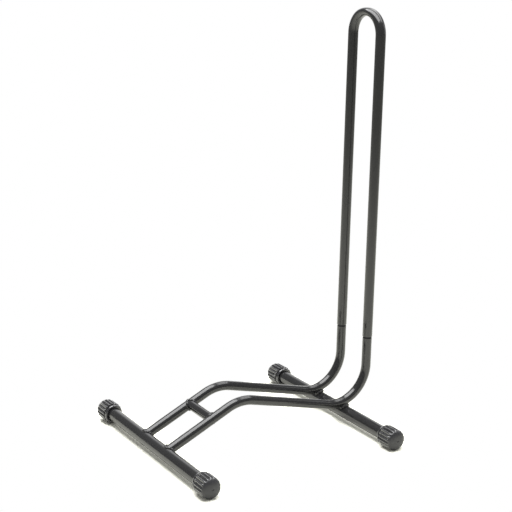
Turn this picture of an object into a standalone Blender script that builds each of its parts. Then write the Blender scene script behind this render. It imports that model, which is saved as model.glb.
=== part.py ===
"""Floor stand that holds a bicycle by one wheel.

Two steel floor bars wear ribbed plastic end caps. Two bent rails are welded to the front bar,
rise, come down onto the rear bar and turn up as short uprights, with a brace between them.
A tall hoop slips over the reduced ends of the uprights and lifts off again.

Metres, +Z up, +X along the floor bars, +Y from the front bar to the rear bar.
The origin is on the floor, at the middle of the stand's box.
"""

import math

import bmesh
import bpy
from mathutils import Matrix, Vector

COLLECTION_NAME = "bike_wheel_stand"
CUTTER_COLLECTION_NAME = "stand_cutters"

# Gap that is left between two pieces that touch or are welded
SEAT_GAP = 0.0003

# Floor bars
BAR_OD = 0.0254
BAR_WALL = 0.0015
BAR_SPACING = 0.389
STAND_WIDTH = 0.430
BAR_SIDES = 32

# End caps: a ring with a tapered lip round an open recess at the mouth, a neck,
# then ribs that run out on a rounded closed end
CAP_OD = 0.040
CAP_RING_OD = 0.0364
CAP_NECK_DEPTH = 0.0016
CAP_RING_WALL = 0.0035
CAP_LENGTH = 0.0425
CAP_RING_LENGTH = 0.0046
CAP_NECK_LENGTH = 0.0022
CAP_LIP_SHARE = 0.85
CAP_LIP_DROP = 0.0016
CAP_LIP_EDGE = 0.0003
CAP_RECESS_DEPTH = 0.004
CAP_DOME_DEPTH = 0.011
CAP_DOME_SQUARENESS = 2.5
CAP_END_WALL = 0.006
CAP_EDGE_RUN = 0.0008
RIB_COUNT = 18
RIB_DEPTH = 0.0020
STEPS_PER_RIB = 3
DOME_STEPS = 4

# Rails, bent from one tube each
RAIL_OD = 0.018
RAIL_WALL = 0.0012
RAIL_CENTRES = 0.086
RAIL_FRONT_RISE = 0.003
HIGH_CORNER_Y = 0.1545
RAIL_SLOPE = math.radians(14.7)
UPRIGHT_LEAN = math.radians(1.4)
HIGH_BEND_RADIUS = 0.078
LOW_BEND_RADIUS = 0.071
REAR_SEAT_ANGLE = math.radians(13.0)
BEND_STEP = math.radians(6.0)

# Joint between rails and hoop: the rail's end is drawn down to a spigot
SHOULDER_HEIGHT = 0.161
SHOULDER_LENGTH = 0.004
SPIGOT_CLEARANCE = 0.0004
SPIGOT_ENGAGEMENT = 0.050

# Hoop
HOOP_OD = 0.019
HOOP_WALL = 0.0012
HOOP_TOP = 0.7805
ARCH_STEP = math.radians(7.5)
ARCH_FLATTENING = 0.34
ARCH_WIDENING = 0.06
TUBE_SIDES = 24

# Brace between the rails
BRACE_OD = 0.018
BRACE_WALL = 0.0012
BRACE_Y = 0.0955

# Weld beads
BEAD_RADIUS = 0.0030
BRACE_BEAD_RADIUS = 0.0027
SEAT_BEAD_RADIUS = 0.0034
BEAD_RIPPLE = 0.15
BEAD_POINTS = 18
BEAD_SIDES = 8
BEAD_RIPPLE_TURN = 2.4
SEAT_BEAD_REACH = 0.0068
SEAT_BEAD_HALF_LENGTH = 0.0095
SEAT_BEAD_CURL = math.radians(54.0)
SEAT_BEAD_SHARES = (0.62, 0.84, 0.96, 0.90, 1.04, 0.92, 1.02, 0.90, 0.96, 0.84, 0.62)

# Finishes: colour, roughness and metallic value
PAINT = ((0.022, 0.022, 0.023), 0.38, 0.0)
PLASTIC = ((0.016, 0.016, 0.017), 0.30, 0.0)
WELD_PAINT = ((0.020, 0.020, 0.021), 0.30, 0.0)

# Sizes that follow from the ones above
bar_radius = BAR_OD / 2
rail_radius = RAIL_OD / 2
hoop_radius = HOOP_OD / 2
brace_radius = BRACE_OD / 2
cap_radius = CAP_OD / 2
cap_step = 2 * math.pi / (RIB_COUNT * STEPS_PER_RIB)
cap_crest_radius = cap_radius / math.cos(cap_step / 2)
hoop_bore_radius = hoop_radius - HOOP_WALL
spigot_radius = hoop_bore_radius - SPIGOT_CLEARANCE
bar_z = cap_radius
rail_x = RAIL_CENTRES / 2


def side_direction(angle):
    """Unit vector in the side view (y, z), at an angle above +Y."""
    return Vector((math.cos(angle), math.sin(angle)))


def quarter_left(v):
    """A side view vector turned a quarter turn anticlockwise."""
    return Vector((-v.y, v.x))


# Side view of the rails: y from the front bar's axis, z from the floor.
# The low bend rests on the rear bar a little in front of the bar's top.
fall = side_direction(-RAIL_SLOPE)
rise_up = side_direction(math.pi / 2 - UPRIGHT_LEAN)
rear_bar_axis = Vector((BAR_SPACING, bar_z))
seat_normal = side_direction(math.pi / 2 + REAR_SEAT_ANGLE)
seat_along = side_direction(REAR_SEAT_ANGLE)
seat_point = rear_bar_axis + seat_normal * (bar_radius + SEAT_GAP / 2)
low_bend_centre = rear_bar_axis + seat_normal * (bar_radius + SEAT_GAP + rail_radius + LOW_BEND_RADIUS)
low_turn = math.pi / 2 - UPRIGHT_LEAN + RAIL_SLOPE
low_tangent = LOW_BEND_RADIUS * math.tan(low_turn / 2)
low_bend_start = low_bend_centre - quarter_left(fall) * LOW_BEND_RADIUS
low_corner = low_bend_start + fall * low_tangent
high_corner = low_corner - fall * ((low_corner.x - HIGH_CORNER_Y) / fall.x)
front_start = Vector((0.0, bar_z + RAIL_FRONT_RISE))
climb = (high_corner - front_start).normalized()
climb_normal = quarter_left(climb)
high_turn = math.atan2(climb.y, climb.x) + RAIL_SLOPE
high_tangent = HIGH_BEND_RADIUS * math.tan(high_turn / 2)
brace_centre = front_start + climb * (BRACE_Y / climb.x)


def along_upright(height):
    """Distance along the upright, from the low corner, at a height above the floor."""
    return (height - low_corner.y) / math.cos(UPRIGHT_LEAN)


shoulder_at = along_upright(SHOULDER_HEIGHT)
seat_share = (rail_radius - hoop_bore_radius + SEAT_GAP) / (rail_radius - spigot_radius)
hoop_end_at = shoulder_at + SHOULDER_LENGTH * seat_share
spigot_end_at = hoop_end_at + SPIGOT_ENGAGEMENT
arch_centre_at = along_upright(HOOP_TOP) - rail_x

def rib_corner_angles():
    """Angles of the crests' corners round a cap, from the crest that stands on the floor."""
    return [
        2 * math.pi * rib / RIB_COUNT + side * cap_step / 2
        for rib in range(RIB_COUNT)
        for side in (-1, 1)
    ]


# The box's middle is the origin, so the front bar stands this far along Y
cap_reach = cap_crest_radius * max(math.sin(angle) for angle in rib_corner_angles())
crown_depth = hoop_radius * (1 + ARCH_WIDENING) * math.cos(UPRIGHT_LEAN)
rear_reach = (low_corner + rise_up * (arch_centre_at + rail_x)).x + crown_depth
front_bar_y = -(rear_reach - cap_reach) / 2


def place(x, side_point):
    """A side view point, at x across the stand, as a place in the stand's frame."""
    return Vector((x, front_bar_y + side_point.x, side_point.y))


def clear_scene():
    for item in list(bpy.data.objects):
        bpy.data.objects.remove(item, do_unlink=True)


def new_collection(name):
    collection = bpy.data.collections.new(name)
    bpy.context.scene.collection.children.link(collection)
    return collection


def add_finish(item, finish):
    colour, roughness, metallic = finish
    material = bpy.data.materials.new(item.name + "_finish")
    material.use_nodes = True
    shader = material.node_tree.nodes["Principled BSDF"]
    shader.inputs["Base Color"].default_value = (*colour, 1.0)
    shader.inputs["Roughness"].default_value = roughness
    shader.inputs["Metallic"].default_value = metallic
    item.data.materials.clear()
    item.data.materials.append(material)


def add_object(name, mesh, collection, finish=None):
    item = bpy.data.objects.new(name, mesh)
    collection.objects.link(item)
    if finish:
        add_finish(item, finish)
    else:
        item.hide_render = True
        item.display_type = "WIRE"
    return item


def shade_round(mesh, sharp_angle=math.radians(40)):
    mesh.shade_smooth()
    mesh.set_sharp_from_angle(angle=sharp_angle)


def curve_mesh(name, points, radius, sides, scales=None, closed=False, capped=True):
    """Mesh of a round tube along points, each with its own share of the radius."""
    curve = bpy.data.curves.new(name + "_path", "CURVE")
    curve.dimensions = "3D"
    curve.bevel_depth = radius
    curve.bevel_resolution = sides // 2 - 2
    curve.use_fill_caps = capped and not closed
    spline = curve.splines.new("POLY")
    spline.points.add(len(points) - 1)
    for index, place_at in enumerate(points):
        spline.points[index].co = (*place_at, 1.0)
        spline.points[index].radius = scales[index] if scales else 1.0
    spline.use_cyclic_u = closed
    holder = bpy.data.objects.new(name + "_path", curve)
    bpy.context.scene.collection.objects.link(holder)
    evaluated = holder.evaluated_get(bpy.context.evaluated_depsgraph_get())
    mesh = bpy.data.meshes.new_from_object(evaluated)
    mesh.name = name
    mesh.transform(holder.matrix_world)
    bpy.data.objects.remove(holder)
    bpy.data.curves.remove(curve)
    welded = bmesh.new()
    welded.from_mesh(mesh)
    bmesh.ops.remove_doubles(welded, verts=welded.verts, dist=0.00001)
    bmesh.ops.recalc_face_normals(welded, faces=welded.faces)
    welded.to_mesh(mesh)
    welded.free()
    shade_round(mesh)
    return mesh


def add_wall(item, thickness):
    """Gives an open tube its wall, inwards from the outer surface."""
    wall = item.modifiers.new("wall", "SOLIDIFY")
    wall.thickness = thickness
    wall.offset = -1.0
    wall.use_even_offset = True
    wall.use_quality_normals = True


def cut(item, *cutters, folded=False):
    """Cuts the cutters' shapes from a piece. A folded piece may pass through itself."""
    for cutter in cutters:
        step = item.modifiers.new("cut_" + cutter.name, "BOOLEAN")
        step.operation = "DIFFERENCE"
        step.solver = "EXACT"
        step.use_self = folded
        step.object = cutter


def arc_points(centre, start, turn):
    """Side view points of an arc from start, round centre, through a signed turn."""
    count = max(2, round(abs(turn) / BEND_STEP))
    arm = start - centre
    points = []
    for index in range(count + 1):
        angle = turn * index / count
        swung = Matrix.Rotation(angle, 2) @ arm
        points.append(centre + swung)
    return points


def rail_side_path():
    """The rail's centre line in the side view, up to the shoulder."""
    high_start = high_corner - climb * high_tangent
    high_centre = high_start - climb_normal * HIGH_BEND_RADIUS
    points = [front_start]
    points += arc_points(high_centre, high_start, -high_turn)
    points += arc_points(low_bend_centre, low_bend_start, low_turn)
    points.append(low_corner + rise_up * shoulder_at)
    return points


def add_rail(name, x, collection, front_cutter):
    """Bent tube with its upper end drawn down to a spigot, and its front end saddled."""
    line = rail_side_path()
    scales = [1.0] * len(line)
    spigot_scale = spigot_radius / rail_radius
    for distance in (shoulder_at + SHOULDER_LENGTH, spigot_end_at):
        line.append(low_corner + rise_up * distance)
        scales.append(spigot_scale)
    points = [place(x, point) for point in line]
    mesh = curve_mesh(name, points, rail_radius, TUBE_SIDES, scales, capped=False)
    rail = add_object(name, mesh, collection, PAINT)
    add_wall(rail, RAIL_WALL)
    cut(rail, front_cutter)
    return rail


def add_rail_cutter(name, x, collection):
    points = [place(x, point) for point in rail_side_path()]
    mesh = curve_mesh(name, points, rail_radius + SEAT_GAP, TUBE_SIDES)
    return add_object(name, mesh, collection)


def hoop_frame():
    """Arch centre, and the hoop's across, up and through directions."""
    centre = place(0.0, low_corner + rise_up * arch_centre_at)
    up = Vector((0.0, rise_up.x, rise_up.y))
    across = Vector((1.0, 0.0, 0.0))
    return centre, across, up, across.cross(up)


def flatten_arch(mesh):
    """The tight bend leaves the tube flat on its outer side and a little wider through."""
    centre, across, up, through = hoop_frame()
    for vertex in mesh.vertices:
        offset = vertex.co - centre
        side, height, depth = offset.dot(across), offset.dot(up), offset.dot(through)
        if height <= 0.0:
            continue
        reach = math.hypot(side, height)
        crown = (height / reach) ** 4
        bulge = reach - rail_x
        if bulge > 0.0:
            bulge *= 1.0 - ARCH_FLATTENING * crown
        depth *= 1.0 + ARCH_WIDENING * crown
        scale = (rail_x + bulge) / reach
        vertex.co = centre + across * side * scale + up * height * scale + through * depth


def add_hoop(name, collection):
    centre, across, up, through = hoop_frame()
    leg = arch_centre_at - hoop_end_at
    points = [centre - across * rail_x - up * leg]
    count = round(math.pi / ARCH_STEP)
    for index in range(count + 1):
        angle = math.pi - math.pi * index / count
        points.append(centre + across * rail_x * math.cos(angle) + up * rail_x * math.sin(angle))
    points.append(centre + across * rail_x - up * leg)
    mesh = curve_mesh(name, points, hoop_radius, TUBE_SIDES, capped=False)
    flatten_arch(mesh)
    hoop = add_object(name, mesh, collection, PAINT)
    add_wall(hoop, HOOP_WALL)
    return hoop


def open_cylinder(name, radius, length, sides):
    """Round tube surface along X, without its ends."""
    shell = bmesh.new()
    bmesh.ops.create_cone(
        shell, cap_ends=False, segments=sides, radius1=radius, radius2=radius, depth=length
    )
    bmesh.ops.rotate(shell, verts=shell.verts, matrix=Matrix.Rotation(math.pi / 2, 3, "Y"))
    mesh = bpy.data.meshes.new(name)
    shell.to_mesh(mesh)
    shell.free()
    shade_round(mesh)
    return mesh


def add_bar(name, side_y, collection):
    """Floor bar, open at both ends inside its caps."""
    socket_floor = STAND_WIDTH / 2 - CAP_END_WALL
    mesh = open_cylinder(name, bar_radius, 2 * (socket_floor - SEAT_GAP), BAR_SIDES)
    bar = add_object(name, mesh, collection, PAINT)
    bar.location = place(0.0, Vector((side_y, bar_z)))
    add_wall(bar, BAR_WALL)
    return bar


def cap_profile():
    """Half section of a cap as (radius, height, ribbed), from the closed end's pole,
    down the outside to the mouth, and up inside to the socket's floor."""
    ring = CAP_RING_OD / 2
    neck = ring - CAP_NECK_DEPTH
    lip = ring - CAP_LIP_DROP
    recess = ring - CAP_RING_WALL
    bore = bar_radius + SEAT_GAP
    lip_run = (CAP_RING_LENGTH - CAP_EDGE_RUN) * CAP_LIP_SHARE
    shoulder = CAP_LENGTH - CAP_DOME_DEPTH
    rib_foot = CAP_RING_LENGTH + CAP_NECK_LENGTH
    rows = [(0.0, CAP_LENGTH, False)]
    for index in range(1, DOME_STEPS + 1):
        angle = math.pi / 2 * index / DOME_STEPS
        out = math.sin(angle) ** (2 / CAP_DOME_SQUARENESS)
        along = math.cos(angle) ** (2 / CAP_DOME_SQUARENESS)
        rows.append((cap_crest_radius * out, shoulder + CAP_DOME_DEPTH * along, True))
    rows += [
        (cap_crest_radius, rib_foot + CAP_EDGE_RUN, True),
        (neck, rib_foot, False),
        (neck, CAP_RING_LENGTH, False),
        (ring, CAP_RING_LENGTH - CAP_EDGE_RUN, False),
        (ring, lip_run, False),
        (ring - CAP_LIP_DROP * 0.3, lip_run * 0.4, False),
        (lip, 0.0, False),
        (recess + CAP_LIP_EDGE, 0.0, False),
        (recess, CAP_LIP_EDGE, False),
        (recess, CAP_RECESS_DEPTH, False),
        (bore, CAP_RECESS_DEPTH, False),
        (bore, CAP_LENGTH - CAP_END_WALL, False),
        (0.0, CAP_LENGTH - CAP_END_WALL, False),
    ]
    return rows


def cap_mesh(name):
    """Turned cap with straight grooves between its ribs, and a crest on the floor."""
    turned = bmesh.new()
    first_angle = cap_step / 2
    ribbed_layer = turned.verts.layers.int.new("ribbed")
    line = []
    for radius, height, ribbed in cap_profile():
        vertex = turned.verts.new((radius * math.cos(first_angle), radius * math.sin(first_angle), height))
        vertex[ribbed_layer] = ribbed
        line.append(vertex)
    edges = [turned.edges.new(pair) for pair in zip(line, line[1:])]
    bmesh.ops.spin(
        turned,
        geom=line + edges,
        cent=(0, 0, 0),
        axis=(0, 0, 1),
        angle=2 * math.pi,
        steps=RIB_COUNT * STEPS_PER_RIB,
    )
    bmesh.ops.remove_doubles(turned, verts=turned.verts, dist=0.00001)
    groove_radius = cap_radius - RIB_DEPTH
    for vertex in turned.verts:
        radius = math.hypot(vertex.co.x, vertex.co.y)
        turn = math.atan2(vertex.co.y, vertex.co.x) / (2 * math.pi) * RIB_COUNT
        in_groove = abs(turn - round(turn)) > 1 / STEPS_PER_RIB
        if vertex[ribbed_layer] and in_groove and radius > groove_radius:
            vertex.co.x *= groove_radius / radius
            vertex.co.y *= groove_radius / radius
    bmesh.ops.recalc_face_normals(turned, faces=turned.faces)
    mesh = bpy.data.meshes.new(name)
    turned.to_mesh(mesh)
    turned.free()
    shade_round(mesh, math.radians(30))
    return mesh


def add_caps(collection):
    """Four push-on caps from one mesh, each closed end facing outwards."""
    mesh = cap_mesh("end_cap")
    mouth = STAND_WIDTH / 2 - CAP_LENGTH
    for bar_name, side_y in (("front", 0.0), ("rear", BAR_SPACING)):
        for side_name, side in (("left", -1), ("right", 1)):
            cap = add_object(f"{bar_name}_{side_name}_cap", mesh.copy(), collection, PLASTIC)
            cap.location = place(side * mouth, Vector((side_y, bar_z)))
            cap.rotation_euler = (0.0, side * math.pi / 2, 0.0)


def add_brace(name, collection, rail_cutters):
    """Short tube between the rails, saddled to both."""
    mesh = open_cylinder(name, brace_radius, RAIL_CENTRES, TUBE_SIDES)
    brace = add_object(name, mesh, collection, PAINT)
    brace.location = place(0.0, brace_centre)
    add_wall(brace, BRACE_WALL)
    cut(brace, *rail_cutters)
    return brace


def add_solid_cylinder(name, side_point, radius, length, sides, collection):
    """Solid round bar along X, as a cutter."""
    solid = bmesh.new()
    bmesh.ops.create_cone(
        solid, cap_ends=True, segments=sides, radius1=radius, radius2=radius, depth=length
    )
    bmesh.ops.rotate(solid, verts=solid.verts, matrix=Matrix.Rotation(math.pi / 2, 3, "Y"))
    mesh = bpy.data.meshes.new(name)
    solid.to_mesh(mesh)
    solid.free()
    cutter = add_object(name, mesh, collection)
    cutter.location = place(0.0, side_point)
    return cutter


def bead_ripples(count):
    """Ripples left by the weld's steps, as shares of the bead's radius."""
    return [1.0 + BEAD_RIPPLE * math.sin(BEAD_RIPPLE_TURN * index) for index in range(count)]


def add_bead(name, points, radius, closed, collection, cutters, shares):
    """Weld bead along points, cut back to the skins of the tubes that it joins."""
    mesh = curve_mesh(name, points, radius, BEAD_SIDES, shares, closed=closed)
    bead = add_object(name, mesh, collection, WELD_PAINT)
    cut(bead, *cutters, folded=True)
    return bead


def front_bead_points(x):
    """Closed line where the rail's skin meets the front bar's skin."""
    bar_skin = bar_radius + SEAT_GAP
    rail_skin = rail_radius + SEAT_GAP
    axis = Vector((0.0, bar_z))
    points = []
    for index in range(BEAD_POINTS):
        angle = 2 * math.pi * index / BEAD_POINTS
        start = front_start - axis + climb_normal * rail_skin * math.sin(angle)
        ahead = start.dot(climb)
        travel = -ahead + math.sqrt(ahead**2 - start.dot(start) + bar_skin**2)
        points.append(place(x + rail_skin * math.cos(angle), axis + start + climb * travel))
    return points


def brace_bead_points(side):
    """Closed line where the brace's skin meets one rail's skin."""
    brace_skin = brace_radius + SEAT_GAP
    rail_skin = rail_radius + SEAT_GAP
    points = []
    for index in range(BEAD_POINTS):
        angle = 2 * math.pi * index / BEAD_POINTS
        lift = brace_skin * math.sin(angle)
        inset = math.sqrt(max(0.0, rail_skin**2 - lift**2))
        offset = climb * brace_skin * math.cos(angle) + climb_normal * lift
        points.append(place(side * (rail_x - inset), brace_centre + offset))
    return points


def seat_bead_points(rail_side, bead_side):
    """Line in the valley between a rail and the rear bar, on one side of the rail.
    Its ends curl in under the rail."""
    count = len(SEAT_BEAD_SHARES)
    bend_skin = LOW_BEND_RADIUS + rail_radius
    points = []
    for index in range(count):
        share = 2 * index / (count - 1) - 1
        travel = SEAT_BEAD_HALF_LENGTH * share
        reach = SEAT_BEAD_REACH * math.cos(SEAT_BEAD_CURL * share)
        rail_lift = rail_radius - math.sqrt(rail_radius**2 - reach**2)
        rail_lift += bend_skin - math.sqrt(bend_skin**2 - travel**2)
        bar_drop = bar_radius - math.sqrt(bar_radius**2 - travel**2)
        middle = (rail_lift - bar_drop) / 2
        side_point = seat_point + seat_along * travel + seat_normal * middle
        points.append(place(rail_side * rail_x + bead_side * reach, side_point))
    return points


def add_welds(collection, front_cutter, rear_cutter, brace_cutter, rail_cutters):
    ripples = bead_ripples(BEAD_POINTS)
    for name, side, rail_cutter in (("left", -1, rail_cutters[0]), ("right", 1, rail_cutters[1])):
        add_bead(
            f"front_weld_{name}", front_bead_points(side * rail_x), BEAD_RADIUS, True,
            collection, (front_cutter, rail_cutter), ripples,
        )
        add_bead(
            f"brace_weld_{name}", brace_bead_points(side), BRACE_BEAD_RADIUS, True,
            collection, (rail_cutter, brace_cutter), ripples,
        )
        for bead_name, bead_side in (("inner", -side), ("outer", side)):
            add_bead(
                f"rear_weld_{name}_{bead_name}", seat_bead_points(side, bead_side), SEAT_BEAD_RADIUS, False,
                collection, (rear_cutter, rail_cutter), SEAT_BEAD_SHARES,
            )


def build_stand():
    clear_scene()
    parts = new_collection(COLLECTION_NAME)
    cutters = new_collection(CUTTER_COLLECTION_NAME)
    front_bar_axis = Vector((0.0, bar_z))
    bar_cut = (bar_radius + SEAT_GAP, STAND_WIDTH, BAR_SIDES, cutters)
    front_cutter = add_solid_cylinder("front_bar_cutter", front_bar_axis, *bar_cut)
    rear_cutter = add_solid_cylinder("rear_bar_cutter", rear_bar_axis, *bar_cut)
    brace_cut = (brace_radius + SEAT_GAP, RAIL_CENTRES, TUBE_SIDES, cutters)
    brace_cutter = add_solid_cylinder("brace_cutter", brace_centre, *brace_cut)
    rail_cutters = (
        add_rail_cutter("left_rail_cutter", -rail_x, cutters),
        add_rail_cutter("right_rail_cutter", rail_x, cutters),
    )
    add_bar("front_crossbar", 0.0, parts)
    add_bar("rear_crossbar", BAR_SPACING, parts)
    add_caps(parts)
    add_rail("left_rail", -rail_x, parts, front_cutter)
    add_rail("right_rail", rail_x, parts, front_cutter)
    add_brace("cross_brace", parts, rail_cutters)
    add_welds(parts, front_cutter, rear_cutter, brace_cutter, rail_cutters)
    add_hoop("wheel_hoop", parts)


build_stand()
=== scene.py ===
"""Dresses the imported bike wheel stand: bent steel tube under a satin black powder coat,
ribbed plastic feet, weld beads and the sleeve joint where the hoop lifts off.

Metres, +Z up, +X along the floor bars, +Y from the front bar to the rear bar.
The origin is on the floor, at the middle of the stand's box.
"""

import math

import bmesh
import bpy
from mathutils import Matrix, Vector


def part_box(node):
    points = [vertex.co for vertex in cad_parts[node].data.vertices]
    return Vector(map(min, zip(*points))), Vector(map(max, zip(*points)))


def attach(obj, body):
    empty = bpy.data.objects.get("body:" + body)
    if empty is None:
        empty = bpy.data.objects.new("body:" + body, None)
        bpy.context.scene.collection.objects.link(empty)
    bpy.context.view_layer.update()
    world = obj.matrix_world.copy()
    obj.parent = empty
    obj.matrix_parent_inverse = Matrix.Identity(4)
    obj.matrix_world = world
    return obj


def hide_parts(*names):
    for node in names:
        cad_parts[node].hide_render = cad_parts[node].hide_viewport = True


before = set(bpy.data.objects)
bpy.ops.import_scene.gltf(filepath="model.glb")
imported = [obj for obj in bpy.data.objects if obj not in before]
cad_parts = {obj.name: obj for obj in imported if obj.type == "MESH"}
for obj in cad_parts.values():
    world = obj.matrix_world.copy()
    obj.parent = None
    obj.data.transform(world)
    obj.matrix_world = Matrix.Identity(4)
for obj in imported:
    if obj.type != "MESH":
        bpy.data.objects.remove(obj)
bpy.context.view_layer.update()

# Meshes: merged doubles, how near a vertex lies to its row, and the angles that are shaded over
MERGE_DISTANCE = 0.00001
ROW_MATCH = 0.00002
SOCKET_MATCH = 0.00005
ROUND_OVER = math.radians(40)
CAP_ROUND_OVER = math.radians(50)
BEAD_ROUND_OVER = math.radians(60)

# Floor bars
BAR_OD = 0.0254
BAR_WALL = 0.0015
BAR_SPACING = 0.389
STAND_WIDTH = 0.430
BAR_SIDES = 72
BAR_ROWS = 12

# End caps
CAP_OD = 0.040
CAP_RING_OD = 0.0364
CAP_NECK_DEPTH = 0.0016
CAP_RING_WALL = 0.0040
CAP_LENGTH = 0.0425
CAP_RING_LENGTH = 0.0046
CAP_NECK_LENGTH = 0.0022
CAP_LIP_SHARE = 0.85
CAP_LIP_DROP = 0.0024
CAP_LIP_EDGE = 0.0003
CAP_RECESS_DEPTH = 0.0014
CAP_DOME_DEPTH = 0.011
CAP_DOME_SQUARENESS = 2.5
CAP_END_WALL = 0.006
CAP_EDGE_RUN = 0.0008
# Middle of a softened edge, as shares of its run and of its drop
EDGE_MIDDLE_RUN = 0.4
EDGE_MIDDLE_DROP = 0.3
CAP_FIT = 0.0003
RIB_COUNT = 18
RIB_DEPTH = 0.0020
RIB_STEPS = 16
RIBBED_ROWS = 5
LIP_ROWS = 5
DOME_ROWS = 14
GATE_RADIUS = 0.0012
GATE_MOUTH_SHARE = 1.5
GATE_DEPTH = 0.0010
# Distance from the bar's axis over which a rib's flank turns from matte to polished
POLISH_FROM = 0.0180
POLISH_AT = 0.0192
# Distance over which a crest turns to its paler top, a painted highlight
CREST_FROM = 0.0190
CREST_AT = 0.0199
# The ring at the mouth is polished from this far off the bar's skin
RING_POLISH_GAP = 0.001
# The grooves' painted shade ends at this share of the dome's depth, from its pole
GROOVE_END_SHARE = 0.6
# Base colour of the painted shade in the grooves
GROOVE_SHADE_COLOUR = (0.006, 0.006, 0.007, 1.0)
# Base colour of the painted highlight on the crests' tops
CREST_HIGHLIGHT_COLOUR = (0.040, 0.040, 0.044, 1.0)
POLISHED_ROUGHNESS = 0.16
POLISHED_COAT_ROUGHNESS = 0.12

# Rails
RAIL_OD = 0.018
RAIL_WALL = 0.0012
RAIL_CENTRES = 0.086
RAIL_FRONT_RISE = 0.003
HIGH_CORNER_Y = 0.1545
RAIL_SLOPE = math.radians(14.7)
UPRIGHT_LEAN = math.radians(1.4)
HIGH_BEND_RADIUS = 0.078
LOW_BEND_RADIUS = 0.071
REAR_SEAT_ANGLE = math.radians(13.0)
RAIL_SEAT_GAP = 0.0003
SADDLE_GAP = RAIL_SEAT_GAP / 3
TUBE_SIDES = 56
BEND_STEP = math.radians(3.0)
CLIMB_ROWS = 6
RUN_ROWS = 4
UPRIGHT_ROWS = 3

# Sleeve joint
SHOULDER_HEIGHT = 0.161
SHOULDER_LENGTH = 0.004
SPIGOT_CLEARANCE = 0.0004
SPIGOT_ENGAGEMENT = 0.050
SHOULDER_ROWS = 8
SPIGOT_ROWS = 3
RIM_ROUND = 0.0005
RIM_ROWS = 3
RIM_ANGLE = math.radians(60)

# Hoop
HOOP_OD = 0.019
HOOP_WALL = 0.0012
HOOP_TOP = 0.7805
ARCH_FLATTENING = 0.34
ARCH_WIDENING = 0.06
ARCH_CROWN_POWER = 4
LEG_ROWS = 16

# Brace
BRACE_OD = 0.018
BRACE_WALL = 0.0012
BRACE_Y = 0.0955
BRACE_ROWS = 4

# Weld beads
BEAD_RADIUS = 0.0030
BRACE_BEAD_RADIUS = 0.0027
SEAT_BEAD_RADIUS = 0.0034
BEAD_SIDES = 20
BEAD_POINTS = 128
FRONT_BEAD_STEPS = 11
BRACE_BEAD_STEPS = 9
BEAD_RIPPLE = 0.24
BEAD_LUMP_SIZE = 0.0034
BEAD_LUMP_DETAIL = 2
FRONT_BEAD_LUMPS = 0.0007
BRACE_BEAD_LUMPS = 0.0011
SEAT_BEAD_LUMPS = 0.0016
SEAT_BEAD_REACH = 0.0068
SEAT_BEAD_HALF_LENGTH = 0.0095
SEAT_BEAD_CURL = math.radians(54.0)
SEAT_BEAD_POINTS = 60
SEAT_BEAD_STEPS = 5
# How unevenly the torch's steps fall, how a bead wanders in width and how it thins at its ends
STEP_DRIFT = 0.11
STEP_DRIFT_TURN = 9.0
BEAD_WANDER = 0.10
BEAD_WANDER_TURNS = 2
BEAD_END_SHARE = 0.60
BEAD_END_RISE = 3.0
# Where each kind of bead starts in that drift
FRONT_BEAD_TURN = 0.8
BRACE_BEAD_TURN = 1.7
SEAT_BEAD_TURN = 0.6

# Surface noise, coarse then fine: scales, detail, shares and the spread that is used
GRAIN_SCALES = (420.0, 1900.0)
GRAIN_DETAIL = (2.0, 3.0)
DRIFT_SCALES = (14.0, 160.0)
DRIFT_DETAIL = (3.0, 4.0)
DRIFT_SHARES = (0.75, 0.25)
DRIFT_SPREAD = (0.35, 0.65)
COARSE_NOISE_ROUGHNESS = 0.5
FINE_NOISE_ROUGHNESS = 0.6
COAT_SPECULAR = 0.75

# Studio floor: its colour for light that bounces, and how many times brighter the camera
# and the paint's gloss see it, as an overexposed white sweep
FLOOR_COLOUR = (0.80, 0.80, 0.72)
FLOOR_SEEN_GAIN = 1.98
FLOOR_GLOSS_GAIN = 1.12
SHADOW_ZONE_HALF_LENGTH = 0.19
PLAIN_WHITE_FROM = 0.045
PLAIN_WHITE_AT = 0.085
FLOOR_SIZE = 60.0

# Studio room: its light, what the paint's gloss shows of it, and the sweep behind the stand
ROOM_LIGHT = 0.30
ROOM_SEEN = 0.25
SWEEP_LEVEL = 1.4
SWEEP_DIRECTION = (-0.80, 0.59, 0.08)
SWEEP_EDGE = (0.74, 0.95)

# Softboxes: name, place, target, width, height and watts
SOFTBOXES = (
    ("key_softbox", (-0.35, -0.33, 2.4), (-0.35, -0.33, 0.0), 2.9, 1.55, 78.0),
    ("rear_softbox", (-0.2, 1.3, 2.3), (-0.2, 1.2, 0.0), 2.6, 1.1, 28.0),
    ("right_softbox", (0.6, 2.6, 1.2), (0.0, 0.0, 0.3), 0.8, 1.4, 5.5),
)

# Camera at the photograph's place
CAMERA_PLACE = (1.9555, -1.1944, 0.9795)
CAMERA_BACK = (0.82401, -0.50002, 0.26645)
CAMERA_LENS = 90.94
CAMERA_SENSOR = 36.0

# Sizes that follow from the ones above
bar_radius = BAR_OD / 2
rail_radius = RAIL_OD / 2
hoop_radius = HOOP_OD / 2
brace_radius = BRACE_OD / 2
cap_radius = CAP_OD / 2
hoop_bore_radius = hoop_radius - HOOP_WALL
spigot_radius = hoop_bore_radius - SPIGOT_CLEARANCE
bar_z = cap_radius
rail_x = RAIL_CENTRES / 2
front_bar_y = (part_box("front_crossbar")[0].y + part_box("front_crossbar")[1].y) / 2


def side_direction(angle):
    """Unit vector in the side view (y, z), at an angle above +Y."""
    return Vector((math.cos(angle), math.sin(angle)))


def quarter_left(v):
    """A side view vector turned a quarter turn anticlockwise."""
    return Vector((-v.y, v.x))


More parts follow.
